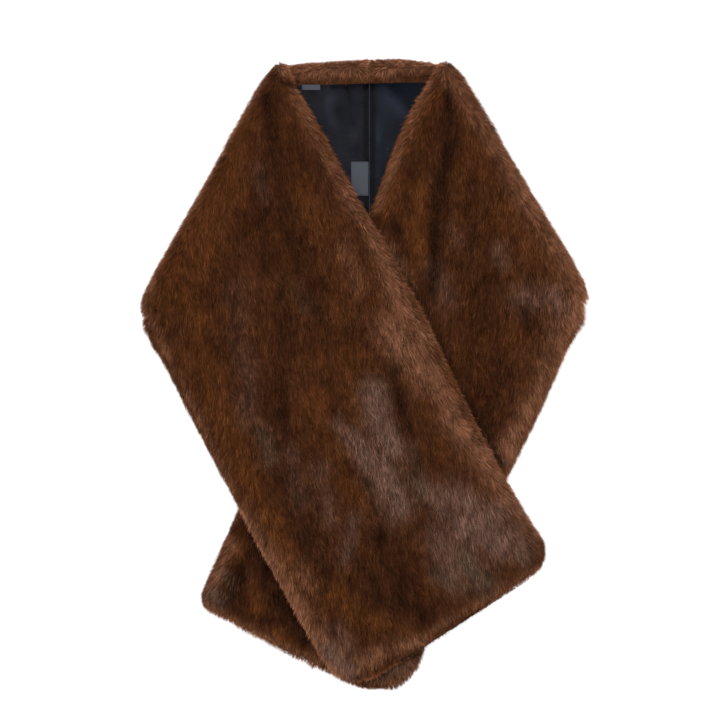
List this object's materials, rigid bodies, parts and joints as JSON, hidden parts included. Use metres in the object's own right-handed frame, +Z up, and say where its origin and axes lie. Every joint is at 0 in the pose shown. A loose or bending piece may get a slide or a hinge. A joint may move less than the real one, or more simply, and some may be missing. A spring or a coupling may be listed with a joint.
{
  "type": "stole",
  "caption": "Lined faux-fur stole laid flat, folded at both shoulders with its ends crossed below a V neck.",
  "frame": {"origin": "under the middle of the laid stole's box, on the surface that it lies on", "axes": "+Z up out of the surface, +Y towards the neck edge at the centre back, +X to the right as seen from above"},
  "size_m": [0.5324, 0.7586, 0.0376],
  "materials": {
    "fur": "dense chestnut-brown faux-fur pile with darker streaks and cooler grey tips",
    "lining": "smooth blue-black satin",
    "label": "charcoal woven tape, bare"
  },
  "bodies": {
    "root": {"fur_left": "fur", "fur_right": "fur", "lining_left": "lining", "lining_right": "lining", "neck_label": "label", "care_label": "label"}
  },
  "joints": []
}
